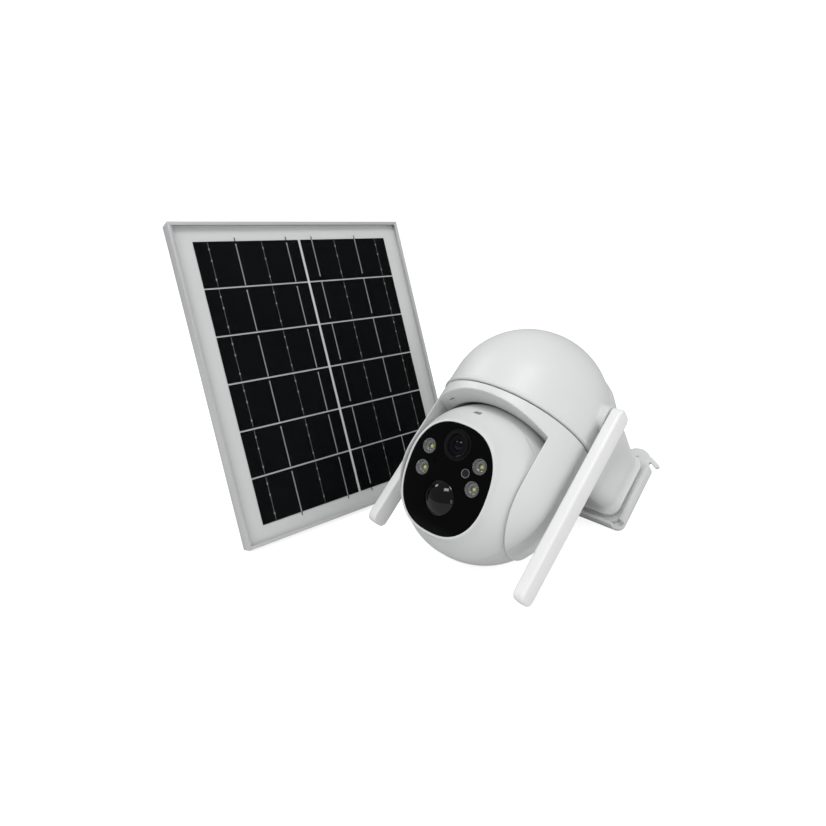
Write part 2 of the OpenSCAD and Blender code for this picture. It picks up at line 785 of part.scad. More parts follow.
module pir_lens() {
    cap_r = (pir_r * pir_r + pir_h * pir_h) / (2 * pir_h);
    color(black) at_head() translate([0, 0, pir_z]) difference() {
        union() {
            intersection() {
                translate([0, -window_y + cap_r - pir_h, 0]) sphere(r = cap_r);
                along_y(-60, -window_y, pir_r);
            }
            along_y(-window_y - tiny, -window_y + 3.2, pir_r);
            along_y(-window_y + 2.01, -window_y + 3.2, pir_r + 1);
        }
        intersection() {
            translate([0, -window_y + cap_r - pir_h, 0]) sphere(r = cap_r - 1);
            along_y(-60, -window_y, pir_r - 1);
        }
        along_y(-window_y - tiny, -30, pir_r - 1);
    }
}
module pir_sensor() {
    color(steel) at_head() translate([0, 0, pir_z]) {
        along_y(-38.2, -32, 4.1);
        along_y(-34, -33.2, 4.8);
    }
}
module light_sensor() {
    color([0.5, 0.5, 0.5]) at_head() translate([10.9, 0, 8]) along_y(-43.6, -35.32, 2.6);
}
module speaker() {
    color([0.15, 0.15, 0.15]) at_head() translate([0, 0, 12]) {
        along_y(36.5, 39.6, 14);
        along_y(33, 36.6, 8);
    }
}
module tilt_motor() {
    color(steel) at_head() translate([0, tilt_mesh, 0]) difference() {
        union() {
            along_x(7, 26, 11.5);
            hull() for (z = [-15, 15]) translate([0, 0, z]) along_x(25, 26, 3);
        }
        along_x(18, 30, 2 + fit);
    }
}
module tilt_pinion() {
    color("white") at_head() translate([32, tilt_mesh, 0]) rotate([0, -90, 0]) pinion();
}

// ---------- solar panel ----------
// Section of a frame rail: x runs inwards from the outer face, y is depth
rail_section = [[0, 0], [lip_w, 0], [lip_w, -lip_t + 0.05], [rail_wall, -lip_t + 0.05],
    [rail_wall, sheet_z - sheet_t - 0.05], [6, sheet_z - sheet_t - 0.05], [6, sheet_z - sheet_t - 1.1],
    [rail_wall, sheet_z - sheet_t - 1.1], [rail_wall, -panel_t + 1.2], [rail_flange, -panel_t + 1.2],
    [rail_flange, -panel_t], [0, -panel_t]];
// A rail of length len along y, with its outer face on x = 0, mitred at both ends
module rail(len) {
    intersection() {
        translate([0, len / 2, 0]) rotate([90, 0, 0]) linear_extrude(len) polygon(rail_section);
        translate([0, 0, -panel_t - 1]) linear_extrude(panel_t + 2)
            polygon([[0, -len / 2 + tiny], [20, -len / 2 + 20 + tiny],
                     [20, len / 2 - 20 - tiny], [0, len / 2 - tiny]]);
    }
}
module frame_rail_left() {
    color(silver) at_panel() translate([-panel_w / 2, 0, 0]) rail(panel_h);
}
module frame_rail_right() {
    color(silver) at_panel() translate([panel_w / 2, 0, 0]) rotate([0, 0, 180]) rail(panel_h);
}
module frame_rail_top() {
    color(silver) at_panel() translate([0, panel_h / 2, 0]) rotate([0, 0, -90]) rail(panel_w);
}
module frame_rail_bottom() {
    color(silver) at_panel() translate([0, -panel_h / 2, 0]) rotate([0, 0, 90]) rail(panel_w);
}
module frame_corner_keys() {
    x = panel_w / 2 - rail_wall - 0.05;
    y = panel_h / 2 - rail_wall - 0.05;
    z1 = sheet_z - sheet_t - 1.15;
    z0 = -panel_t + 1.25;
    color([0.4, 0.4, 0.42]) at_panel() for (a = [-1, 1], b = [-1, 1]) scale([a, b, 1]) {
        box(x - 18, x, y - 3, y, z0, z1);
        box(x - 3, x, y - 18, y - 2.9, z0, z1);
    }
}
module panel_glass() {
    color([0.75, 0.85, 0.9, 0.35]) at_panel()
        box(-panel_w / 2 + rail_wall + 0.1, panel_w / 2 - rail_wall - 0.1, -panel_h / 2 + rail_wall + 0.1,
            panel_h / 2 - rail_wall - 0.1, glass_z - glass_t, glass_z);
}
module solar_cells() {
    color([0.08, 0.08, 0.1]) at_panel() for (i = [0, 1], j = [0 : 5])
        translate([i * (cell_w + cell_gap_x) - cell_w - cell_gap_x / 2,
                   (j - 3) * (cell_h + cell_gap_y) + cell_gap_y / 2, cells_z - cell_t])
            cube([cell_w, cell_h, cell_t]);
}
module backsheet() {
    color("white") at_panel()
        box(-panel_w / 2 + rail_wall + 0.1, panel_w / 2 - rail_wall - 0.1, -panel_h / 2 + rail_wall + 0.1,
            panel_h / 2 - rail_wall - 0.1, sheet_z - sheet_t, sheet_z);
}
box_z = sheet_z - sheet_t - 0.05;
module junction_box() {
    color(black) at_panel() difference() {
        union() {
            box(-27, 27, 42, 84, box_z - 11, box_z);
            both_sides() box(25, 31, 50, 76, box_z - 2, box_z);
        }
        box(-25, 25, 44, 82, box_z - 9, box_z + 1);
        translate([0, 0, box_z - 5.5]) along_y(38, 50, 3.9);
    }
}
module cable_gland() {
    color([0.1, 0.1, 0.1]) at_panel() translate([0, 0, box_z - 5.5]) difference() {
        union() {
            along_y(38.5, 45, 3.85);
            translate([0, 41.9, 0]) rotate([90, 0, 0]) cylinder(r = 5, h = 4, $fn = 6);
            along_y(33, 38.2, 4.4);
        }
        along_y(30, 50, 2.2);
    }
}
module rear_crossbar() {
    color(silver) at_panel() difference() {
        box(-panel_w / 2 + 2, panel_w / 2 - 2, bar_y - 14, bar_y + 14, -panel_t - 2, -panel_t - 0.02);
        translate([0, bar_y, -panel_t - 3]) cylinder(r = 3.2, h = 4);
    }
}

// ---------- stand of the panel ----------
module at_socket() {
    translate([0, bar_y, ball_joint_z]) rotate([-socket_droop, 0, 0]) children();
}
module stand_socket() {
    color([0.2, 0.2, 0.21]) at_panel() difference() {
        union() {
            translate([0, bar_y, -panel_t - 4.4]) cylinder(r = 17, h = 2.38);
            translate([0, bar_y, -panel_t - 4]) cylinder(r = 3.18, h = 8);
            intersection() {
                at_socket() cylinder(r = 12.4, h = 30);
                box(-20, 20, bar_y - 30, bar_y + 30, -80, -panel_t - 2.02);
            }
        }
        at_socket() sphere(r = ball_joint_r + 0.08);
    }
}
module stand_collar() {
    color([0.2, 0.2, 0.21]) at_panel() at_socket() difference() {
        union() {
            translate([0, 0, -6]) cylinder(r = 15.6, h = 9);
            for (a = [0 : 30 : 359]) rotate([0, 0, a]) translate([15.3, 0, -5]) cylinder(r = 1.1, h = 7);
        }
        translate([0, 0, -0.05]) cylinder(r = 12.4 + fit, h = 12);
        sphere(r = ball_joint_r + 0.25);
        translate([0, 0, -6.5]) cylinder(r1 = 11.6, r2 = 7.9, h = 2.6);
    }
}
module stand_stem() {
    color([0.2, 0.2, 0.21]) at_stand() {
        sphere(r = ball_joint_r);
        translate([0, 0, -26]) cylinder(r = 4, h = 22);
        translate([0, 0, -stand_h + 24]) cylinder(r = stem_r, h = stand_h - 24 - 22);
        translate([0, 0, -stand_h + foot_t + 1]) cylinder(r = 3.5, h = 24);
    }
}
module stand_foot() {
    color([0.2, 0.2, 0.21]) at_stand() translate([0, 0, -stand_h]) difference() {
        union() {
            cylinder(r = foot_r, h = foot_t);
            translate([0, 0, foot_t - 1]) cylinder(r = 9, h = 24 - foot_t + 1 - gap);
        }
        translate([0, 0, foot_t]) cylinder(r = 3.5 + fit, h = 30);
        for (a = [30, 150, 270]) rotate([0, 0, a]) translate([foot_pcd / 2, 0, -1])
            cylinder(r = foot_hole_r, h = 8);
    }
}

base_housing();
rear_gasket();
rear_cover();
rear_cover_screws();
wall_bracket();
bracket_screw();
battery_cells();
battery_holder();
main_board();
switch_board();
charge_port();
port_flap();
power_button();
reset_button();
antenna_pins();
antenna_left();
antenna_right();
antenna_element_left();
antenna_element_right();
base_chassis();
pan_motor();
pan_pinion();
yoke_front_shell();
yoke_rear_shell();
pan_gear();
pan_retainer();
tilt_gear();
tilt_pins();
head_front_shell();
head_rear_shell();
face_window();
lens_barrel();
lens_glass();
lamp_reflectors();
lamp_chips();
lamp_board();
sensor_board();
pir_lens();
pir_sensor();
light_sensor();
speaker();
card_slot();
card_door();
tilt_motor();
tilt_pinion();
frame_rail_left();
frame_rail_right();
frame_rail_top();
frame_rail_bottom();
frame_corner_keys();
panel_glass();
solar_cells();
backsheet();
junction_box();
cable_gland();
rear_crossbar();
stand_socket();
stand_collar();
stand_stem();
stand_foot();
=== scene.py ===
import itertools
import json
import math

import bmesh
import bpy
import numpy as np
from mathutils import Matrix

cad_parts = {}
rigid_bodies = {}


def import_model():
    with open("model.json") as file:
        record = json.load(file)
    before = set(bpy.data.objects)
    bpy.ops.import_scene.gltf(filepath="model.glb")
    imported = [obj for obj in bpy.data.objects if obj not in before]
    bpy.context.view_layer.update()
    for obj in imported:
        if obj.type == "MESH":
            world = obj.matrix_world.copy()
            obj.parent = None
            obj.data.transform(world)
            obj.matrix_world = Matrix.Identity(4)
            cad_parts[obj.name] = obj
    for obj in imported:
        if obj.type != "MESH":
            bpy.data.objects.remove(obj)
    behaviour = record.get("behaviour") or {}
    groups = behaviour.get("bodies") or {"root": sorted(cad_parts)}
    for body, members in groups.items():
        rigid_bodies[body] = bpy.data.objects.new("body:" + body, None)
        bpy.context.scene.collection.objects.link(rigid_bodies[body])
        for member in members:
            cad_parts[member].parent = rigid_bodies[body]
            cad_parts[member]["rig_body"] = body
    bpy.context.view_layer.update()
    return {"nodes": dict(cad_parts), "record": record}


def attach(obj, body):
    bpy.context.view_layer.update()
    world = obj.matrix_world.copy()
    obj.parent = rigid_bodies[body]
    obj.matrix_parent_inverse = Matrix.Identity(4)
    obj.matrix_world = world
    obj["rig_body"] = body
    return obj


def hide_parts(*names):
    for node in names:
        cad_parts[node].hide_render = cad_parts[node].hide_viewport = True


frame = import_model()
MM = 0.001


# ---------- where the frames stand, in mm, as in the CAD source ----------
def turned(axis, degrees):
    return np.array(Matrix.Rotation(math.radians(degrees), 4, axis))


def moved(x, y, z):
    return np.array(Matrix.Translation((x, y, z)))


CAMERA = moved(36.2, -53.8, 50) @ turned("Z", -46.4) @ turned("X", -46.6)
YOKE = CAMERA @ turned("Z", 7.4)
HEAD = YOKE @ turned("X", 23.5)
PANEL = moved(-67.5, 32.9, 104.93) @ turned("Z", 40.6) @ turned("X", 69.1)
ALONG_Y = turned("X", 90)    # a lathe's +z becomes -y, towards the front of the head


# ---------- materials ----------
def colour(hex_code):
    """sRGB hex to linear RGBA."""
    parts = [int(hex_code[i:i + 2], 16) / 255 for i in (1, 3, 5)]
    return [c / 12.92 if c <= 0.04045 else ((c + 0.055) / 1.055) ** 2.4 for c in parts] + [1.0]


def add(tree, kind, settings=None, links=None):
    """One shader node, with its settings and with sockets of other nodes linked to its inputs."""
    node = tree.nodes.new(kind)
    for key, value in (settings or {}).items():
        if isinstance(key, int) or key in node.inputs:
            node.inputs[key].default_value = value
        else:
            setattr(node, key, value)
    for key, socket in (links or {}).items():
        tree.links.new(socket, node.inputs[key])
    return node


def finish_of(name, base, rough, metal=0.0, mottle=0.03, patch_mm=18, grain_mm=0.5, grain=0.02,
              rough_spread=0.05, streak=(1, 1, 1), **fixed):
    """A finish whose colour drifts over patch_mm, and whose gloss and skin vary with a grain of grain_mm."""
    material = bpy.data.materials.new(name)
    material.use_nodes = True
    tree = material.node_tree
    tree.nodes.clear()
    where = add(tree, "ShaderNodeTexCoord").outputs["Object"]
    stretched = add(tree, "ShaderNodeMapping", {"Scale": streak}, {"Vector": where}).outputs["Vector"]
    patches = add(tree, "ShaderNodeTexNoise", {"Scale": 1 / (patch_mm * MM), "Detail": 3.0},
                  {"Vector": where})
    grains = add(tree, "ShaderNodeTexNoise", {"Scale": 1 / (grain_mm * MM), "Detail": 2.0},
                 {"Vector": stretched})
    shade = add(tree, "ShaderNodeMapRange",
                {"From Min": 0.3, "From Max": 0.7, "To Min": 1 - mottle, "To Max": 1 + mottle},
                {"Value": patches.outputs["Fac"]})
    tint = add(tree, "ShaderNodeVectorMath", {"operation": "SCALE", 0: colour(base)[:3]},
               {"Scale": shade.outputs["Result"]})
    smoothest, roughest = max(0.0, rough - rough_spread), rough + rough_spread
    gloss = add(tree, "ShaderNodeMapRange",
                {"From Min": 0.25, "From Max": 0.75, "To Min": smoothest, "To Max": roughest},
                {"Value": grains.outputs["Fac"]})
    skin = add(tree, "ShaderNodeBump", {"Strength": 1.0, "Distance": grain * MM},
               {"Height": grains.outputs["Fac"]})
    shader = add(tree, "ShaderNodeBsdfPrincipled", {"Metallic": metal, **fixed},
                 {"Base Color": tint.outputs["Vector"], "Roughness": gloss.outputs["Result"],
                  "Normal": skin.outputs["Normal"]})
    add(tree, "ShaderNodeOutputMaterial", None, {"Surface": shader.outputs["BSDF"]})
    return material


FINISHES = {
    # satin white with a very fine spark texture: soft, wide highlights and no mirror image
    "white_shell": finish_of("satin_white_abs", "#D6D7D7", 0.42, mottle=0.012, patch_mm=30,
                             grain_mm=0.35, grain=0.006),
    # black rubber that takes almost no light
    "seal_rubber": finish_of("moulded_rubber", "#262626", 0.75, grain_mm=0.8, grain=0.03),
    # cold metal with faint turning marks
    "steel": finish_of("zinc_plated_steel", "#B9BABD", 0.3, metal=1.0, streak=(1, 1, 6),
                       grain_mm=0.4, grain=0.01),
    # tight glossy sleeve
    "battery_wrap": finish_of("heat_shrink_sleeve", "#2F6FA3", 0.25, grain_mm=2, grain=0.02),
    # fine-grained black moulding
    "black_plastic": finish_of("black_nylon", "#19191A", 0.5, grain_mm=0.5, grain=0.02),
    # lacquered board with cloudy weave
    "circuit_board": finish_of("solder_resist", "#14532D", 0.35, mottle=0.12, patch_mm=3,
                               grain_mm=0.6, grain=0.02),
    # soft silicone key
    "grey_button": finish_of("grey_silicone", "#A9ABAB", 0.6, grain_mm=0.5, grain=0.01),
    # bare strip, lightly tarnished
    "antenna_copper": finish_of("tarnished_copper", "#B98A55", 0.35, metal=1.0, mottle=0.1, patch_mm=4),
    # plain inner moulding
    "chassis_plastic": finish_of("unpainted_abs", "#C4C4C0", 0.55, grain_mm=0.8, grain=0.02),
    # slippery natural acetal
    "gear_plastic": finish_of("natural_acetal", "#E8E8DF", 0.35, grain_mm=0.7, grain=0.01),
    # polished black acrylic: deep black with clean, weak reflections
    "black_window": finish_of("polished_black_acrylic", "#060607", 0.05, mottle=0.05,
                              grain_mm=6, grain=0.0004, rough_spread=0.015, **{"Specular IOR Level": 0.07}),
    # coated glass: dark, with a bluish purple bloom
    "lens_glass": finish_of("coated_lens_glass", "#050506", 0.06, mottle=0.1, patch_mm=4, grain_mm=5,
                            grain=0.0, rough_spread=0.01,
                            **{"Specular IOR Level": 0.3, "Specular Tint": colour("#D6D9F0")}),
    # vacuum-metallised cup: bright ring with soft flecks
    "reflector_metal": finish_of("metallised_cup", "#9C9E9F", 0.27, metal=0.75,
                                 grain_mm=0.6, grain=0.0015),
    # yellow gel over the emitter
    "lamp_phosphor": finish_of("phosphor_gel", "#CFCB77", 0.35, mottle=0.06, patch_mm=0.8,
                                grain_mm=0.2, grain=0.01),
    # smoked plastic light pipe
    "sensor_grey": finish_of("smoked_light_pipe", "#8C8C8F", 0.3, grain_mm=0.8, grain=0.005),
    # satin anodised extrusion with drawing lines
    "frame_aluminium": finish_of("satin_anodised_aluminium", "#C9CACB", 0.42, metal=0.35, mottle=0.015,
                                 streak=(1, 1, 0.2), grain_mm=0.5, grain=0.003),
    # rough die casting
    "key_aluminium": finish_of("mill_aluminium", "#8F9093", 0.5, metal=1.0, grain_mm=0.6, grain=0.02),
    # clear, slightly frosted cover glass
    "panel_glass": finish_of("textured_solar_glass", "#3C4442", 0.18, grain_mm=9, grain=0.0,
                             rough_spread=0.01, **{"Alpha": 0.02}),
    # anti-reflection silicon: near black, cloudy from cell to cell
    "silicon": finish_of("black_silicon", "#070709", 0.5, mottle=0.2, patch_mm=45, grain_mm=9, grain=0.0,
                         rough_spread=0.02, **{"Specular IOR Level": 0.02}),
    # smooth white laminate behind the cells
    "white_sheet": finish_of("white_laminate", "#D3D4D4", 0.4, mottle=0.01, patch_mm=50,
                             grain_mm=1.0, grain=0.002),
    # glass-filled black nylon, slightly rough
    "stand_plastic": finish_of("filled_nylon", "#202021", 0.55, grain_mm=0.6, grain=0.03),
}
# the antennas: the shells' white moulding painted lighter, as painted light for the extra light on their
# faces, and slightly glossier
ANTENNA_WHITE_PAINTED_LIT = finish_of("white_abs_painted_lit", "#EDEEED", 0.34, mottle=0.01, patch_mm=30,
                          grain_mm=0.35, grain=0.005)
# tinned copper: the bright lines on the cells
TINNED = finish_of("tinned_ribbon", "#C9CBCC", 0.35, metal=0.6, mottle=0.08, patch_mm=6,
                   grain_mm=0.5, grain=0.01)
# the ribbons' free ends, stained dark by flux
FLUXED = finish_of("fluxed_ribbon", "#3E3F41", 0.6, mottle=0.08, patch_mm=3, grain_mm=0.4,
                   grain=0.005)
# printed silver paste: thin dull lines
SILVER_PASTE = finish_of("silver_paste", "#17181B", 0.5, mottle=0.08, patch_mm=8, grain_mm=0.3,
                         grain=0.005, **{"Specular IOR Level": 0.1})
# black anodised barrel: dark, with a soft sheen along its edges
BARREL_BLACK = finish_of("black_anodised_barrel", "#0A0A0B", 0.3, mottle=0.05, grain_mm=0.5, grain=0.003,
                         **{"Specular IOR Level": 0.25})
# high-gloss moulded dome: black, with a clear mirror image of its surroundings
GLOSS_DOME = finish_of("gloss_black_polycarbonate", "#070708", 0.08, mottle=0.05, grain_mm=6, grain=0.0003,
                       rough_spread=0.02, **{"Specular IOR Level": 0.36})
# dark filter glass under the light pipe's rim
FILTER_GLASS = finish_of("smoked_filter_glass", "#1D1D1F", 0.2, mottle=0.05, grain_mm=2, grain=0.001,
                         **{"Specular IOR Level": 0.3})

SLOT_OF = {s["node"]: s["material_slot"] for s in frame["record"]["subparts"]}
for node_name, node_object in frame["nodes"].items():
    node_object.data.materials.clear()
    node_object.data.materials.append(FINISHES[SLOT_OF[node_name]])


# ---------- building pieces ----------
def at(place, points):
    """Points in mm in a local frame, as points in the row frame in metres."""
    points = np.asarray(points, float).reshape(-1, 3)
    return (points @ place[:3, :3].T + place[:3, 3]) * MM


def new_object(name, points, faces, keen=35):
    """A smooth-shaded mesh with outward normals; edges sharper than keen degrees stay crisp."""
    mesh = bpy.data.meshes.new(name)
    mesh.from_pydata([tuple(p) for p in points], [], [tuple(int(i) for i in f) for f in faces])
    work = bmesh.new()
    work.from_mesh(mesh)
    bmesh.ops.remove_doubles(work, verts=work.verts, dist=1e-6)
    bmesh.ops.recalc_face_normals(work, faces=work.faces)
    work.to_mesh(mesh)
    work.free()
    mesh.shade_smooth()
    mesh.set_sharp_from_angle(angle=math.radians(keen))
    made = bpy.data.objects.new(name, mesh)
    bpy.context.scene.collection.objects.link(made)
    return made


def joined(shapes):
    points, faces = [], []
    for shape_points, shape_faces in shapes:
        start = sum(len(p) for p in points)
        points.append(np.asarray(shape_points, float).reshape(-1, 3))
        faces += [[i + start for i in f] for f in shape_faces]
    return np.concatenate(points), faces


def dress(made, body, slot, *nodes, material=None):
    """Gives a finished mesh its finish and its body, and hides the CAD nodes that it stands for."""
    made.data.materials.clear()
    made.data.materials.append(material or FINISHES[slot])
    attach(made, body)
    if nodes:
        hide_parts(*nodes)
    return made


def piece(name, shapes, place, body, slot, *nodes, keen=35, material=None):
    points, faces = joined(shapes)
    return dress(new_object(name, at(place, points), faces, keen), body, slot, *nodes, material=material)


def lathe(profile, steps=64, place=np.eye(4)):
    """A closed profile of (radius, height) turned round z; radius 0 closes on the axis."""
    rings = []
    for radius, height in profile:
        t = np.arange(steps) * 2 * math.pi / steps
        rings.append(np.stack([radius * np.cos(t), radius * np.sin(t), np.full(steps, height)], 1))
    points = np.concatenate(rings)
    faces = []
    for a, b in zip(range(len(profile)), list(range(1, len(profile))) + [0]):
        if profile[a][0] == 0 and profile[b][0] == 0:
            continue
        for i in range(steps):
            j = (i + 1) % steps
            quad = [a * steps + i, a * steps + j, b * steps + j, b * steps + i]
            if profile[a][0] == 0:
                quad = [a * steps, b * steps + j, b * steps + i]
            elif profile[b][0] == 0:
                quad = [a * steps + i, a * steps + j, b * steps]
            faces.append(quad)
    return points @ place[:3, :3].T + place[:3, 3], faces


def loft(rings, closed=False):
    """Joins rings of equal length; open ends are capped, or the last ring joins the first."""
    count = len(rings[0])
    faces = []
    for a in range(len(rings) if closed else len(rings) - 1):
        b = (a + 1) % len(rings)
        for i in range(count):
            j = (i + 1) % count
            faces.append([a * count + i, a * count + j, b * count + j, b * count + i])
    if not closed:
        faces.append(list(range(count))[::-1])
        faces.append([(len(rings) - 1) * count + i for i in range(count)])
    return np.concatenate(rings), faces


def cut(made, cutters):
    """Takes closed shapes, already in the row frame, out of a mesh."""
    points, faces = joined(cutters)
    tool = new_object("cutter", points, faces)
    modifier = made.modifiers.new("cut", "BOOLEAN")
    modifier.operation, modifier.solver, modifier.object = "DIFFERENCE", "EXACT", tool
    graph = bpy.context.evaluated_depsgraph_get()
    made.data = bpy.data.meshes.new_from_object(made.evaluated_get(graph))
    made.modifiers.clear()
    bpy.data.objects.remove(tool)
    made.data.set_sharp_from_angle(angle=math.radians(35))
    return made


def block(x0, x1, y0, y1, z0, z1, place):
    corners = [(x, y, z) for x in (x0, x1) for y in (y0, y1) for z in (z0, z1)]
    faces = [(0, 1, 3, 2), (4, 6, 7, 5), (0, 4, 5, 1), (2, 3, 7, 6), (0, 2, 6, 4), (1, 5, 7, 3)]
    return at(place, corners), faces


def rod(radius, height, place, steps=32):
    points, faces = lathe([(0, 0), (radius, 0), (radius, height), (0, height)], steps, place)
    return points * MM, faces


def bevelled(node, width, segments=2, keen=30):
    """A copy of a CAD piece with its edges rounded, which then stands for it."""
    source = frame["nodes"][node]
    mesh = source.data.copy()
    work = bmesh.new()
    work.from_mesh(mesh)
    bmesh.ops.remove_doubles(work, verts=work.verts, dist=2e-6)
    bmesh.ops.dissolve_limit(work, angle_limit=math.radians(0.6), verts=work.verts, edges=work.edges)
    bmesh.ops.recalc_face_normals(work, faces=work.faces)
    work.to_mesh(mesh)
    work.free()
    made = bpy.data.objects.new(node + "_piece", mesh)
    bpy.context.scene.collection.objects.link(made)
    modifier = made.modifiers.new("edges", "BEVEL")
    modifier.width, modifier.segments = width * MM, segments
    modifier.limit_method, modifier.angle_limit = "ANGLE", math.radians(keen)
    graph = bpy.context.evaluated_depsgraph_get()
    made.data = bpy.data.meshes.new_from_object(made.evaluated_get(graph))
    made.modifiers.clear()
    made.data.shade_smooth()
    made.data.set_sharp_from_angle(angle=math.radians(40))
    return dress(made, source["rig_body"], SLOT_OF[node], node)


# ---------- solids given by a field, negative inside ----------
def soft_max(a, b, k):
    h = np.clip(0.5 - 0.5 * (b - a) / k, 0, 1)
    return b + (a - b) * h + k * h * (1 - h)


def soft_min(a, b, k):
    return -soft_max(-a, -b, k)


def step_between(low, high, value):
    t = np.clip((value - low) / (high - low), 0, 1)
    return t * t * (3 - 2 * t)


def slopes(field, points, reach=0.02):
    out = np.empty_like(points)
    for axis in range(3):
        offset = np.zeros(3)
        offset[axis] = reach
        out[:, axis] = field(points + offset) - field(points - offset)
    return out / np.maximum(np.linalg.norm(out, axis=1, keepdims=True), 1e-12)


def skin_of(field, *lines):
    """The closed skin of a field on a grid given by three lines of coordinates.

    Each cell that the skin crosses gets one point, set where the tangent planes of the
    crossings meet, so edges stay crisp.
    """
    lines = [np.asarray(line, float) for line in lines]
    grid = np.stack(np.meshgrid(*lines, indexing="ij"), -1)
    values = field(grid.reshape(-1, 3)).reshape(grid.shape[:3])
    inside = values < 0
    cells = tuple(n - 1 for n in inside.shape)
    corner_sum = np.zeros(cells, np.int8)
    for i, j, k in itertools.product((0, 1), repeat=3):
        corner_sum += inside[i:cells[0] + i, j:cells[1] + j, k:cells[2] + k]
    mixed = (corner_sum > 0) & (corner_sum < 8)
    index = np.full(cells, -1)
    index[mixed] = np.arange(mixed.sum())
    total = mixed.sum()
    count, mean = np.zeros(total), np.zeros((total, 3))
    normal_sum, plane_sum = np.zeros((total, 3, 3)), np.zeros((total, 3))
    faces = []
    for axis in range(3):
        near = [slice(None)] * 3
        far = [slice(None)] * 3
        near[axis], far[axis] = slice(0, -1), slice(1, None)
        crossing = np.argwhere(inside[tuple(near)] != inside[tuple(far)])
        others = [a for a in range(3) if a != axis]
        limits = np.array(cells)
        keep = np.all((crossing[:, others] > 0) & (crossing[:, others] < limits[others]), axis=1)
        crossing = crossing[keep]
        if not len(crossing):
            continue
        p0 = np.stack([lines[a][crossing[:, a]] for a in range(3)], 1)
        p1 = p0.copy()
        p1[:, axis] = lines[axis][crossing[:, axis] + 1]
        low_inside = inside[tuple(crossing.T)]
        for _ in range(12):
            middle = (p0 + p1) / 2
            same = (field(middle) < 0) == low_inside
            p0[same], p1[~same] = middle[same], middle[~same]
        hit = (p0 + p1) / 2
        normal = slopes(field, hit)
        b, c = others
        around = []
        for db, dc in ((-1, -1), (0, -1), (0, 0), (-1, 0)):
            cell = crossing.copy()
            cell[:, b] += db
            cell[:, c] += dc
            around.append(index[tuple(cell.T)])
        for cell in around:
            np.add.at(count, cell, 1)
            np.add.at(mean, cell, hit)
            np.add.at(normal_sum, cell, normal[:, :, None] * normal[:, None, :])
            np.add.at(plane_sum, cell, normal * np.sum(normal * hit, 1, keepdims=True))
        quads = np.stack(around, 1)
        forward = low_inside if axis != 1 else ~low_inside
        quads[~forward] = quads[~forward][:, ::-1]
        faces.append(quads)
    mean /= count[:, None]
    hold = 0.06 * count
    left = normal_sum + hold[:, None, None] * np.eye(3)
    right = plane_sum + hold[:, None] * mean
    points = np.linalg.solve(left, right[:, :, None])[:, :, 0]
    where = np.argwhere(mixed)
    for a in range(3):
        low, high = lines[a][where[:, a]], lines[a][where[:, a] + 1]
        points[:, a] = np.clip(points[:, a], low, high)
    return points, np.concatenate(faces)


def ruler(low, high, step, finer=()):
    """Coordinates from low to high; finer holds (low, high, step) stretches."""
    marks = [low]
    while marks[-1] < high:
        size = min([step] + [s for a, b, s in finer if a <= marks[-1] < b])
        marks.append(marks[-1] + size)
    return marks


def rounded_box(u, v, half_u, half_v, r):
    a, b = np.abs(u) - half_u + r, np.abs(v) - half_v + r
    return np.hypot(np.maximum(a, 0), np.maximum(b, 0)) + np.minimum(np.maximum(a, b), 0) - r


# ---------- base housing: dome, rolled rim, pinched neck and flange ----------
DOME_R, DOME_Z, RIM_Z, WALL = 52.6, 57.0, 42.4, 2.4


def dome_and_neck(p, inset):
    x, y, z = p[:, 0], p[:, 1], p[:, 2]
    dome = np.sqrt(x * x + y * y + np.maximum(z - DOME_Z, 0) ** 2) - (DOME_R - inset)
    run = np.clip((y - 21) / 71, 0, 1)
    waist = 5.2 * np.exp(-((y - 66) / 14) ** 2) * (1 - step_between(62, 84, z))
    top, floor = 93 - 7 * run, 40
    half_x, half_z = 43.5 - waist - inset, (top - floor) / 2 - inset
    neck = rounded_box(x, z - (top + floor) / 2, half_x, half_z, 10 - inset / 2)
    return dome, soft_max(neck, 12 - y, 4)


def housing_field(p):
    x, y, z = p[:, 0], p[:, 1], p[:, 2]
    rho = np.hypot(x, y)
    dome, neck = dome_and_neck(p, 0)
    flange = soft_max(rounded_box(x, z - 62.25, 46.5, 24.75, 9), np.abs(y - 90.5) - 1.3, 0.6)
    body = soft_min(dome, soft_max(neck, y - 91.8, 0.5), 8)
    body = soft_min(body, flange, 4)
    body = np.maximum(body, y - 91.8)
    boss = soft_max(np.hypot(y, z - 64.9) - 8.5, np.abs(x) - 56, 1.2)
    body = soft_min(body, np.maximum(boss, 40 - np.abs(x)), 1.0)
    rim = np.hypot(rho - 51.8, z - RIM_Z - 1.35) - 1.35
    body = soft_min(body, rim, 0.4)
    under = np.maximum(rho - 53.2, z - RIM_Z)
    body = soft_max(body, -under, 0.5)
    inner_dome, inner_neck = dome_and_neck(p, WALL)
    inner_dome = np.maximum(inner_dome, 41 - z)
    inner_neck = np.maximum(inner_neck, -np.maximum(rho - 55.6, z - RIM_Z - WALL))
    body = soft_max(body, -np.minimum(inner_dome, inner_neck), 0.3)
    port = np.maximum(rounded_box(x + 14, y - 80, 5.2, 2.5, 1.2), z - 44)
    keys = np.maximum(np.minimum(np.hypot(x - 8, y - 80) - 3.3, np.hypot(x - 18, y - 80) - 1.8), z - 44)
    return soft_max(body, -np.minimum(port, keys), 0.3)


housing = skin_of(housing_field, ruler(-57.3, 57.5, 1.25, [(-20.5, 21, 0.8)]),
                  ruler(-54.3, 93.2, 1.25, [(76, 84.2, 0.8)]),
                  ruler(36.3, 111.5, 1.3, [(36, 41.6, 0.8), (41.5, 46, 0.42)]))
piece("base_housing_piece", [housing], CAMERA, "camera_base", "white_shell", "base_housing", keen=40)


# ---------- yoke: two moulded halves ----------
YOKE_R, ARM_X, ARCH_Z, ARCH_DROP, SEAM_Y = 52.2, 38.8, 37.0, 6.5, -9.5
ARCH_R = (ARM_X ** 2 + ARCH_DROP ** 2) / (2 * ARCH_DROP)


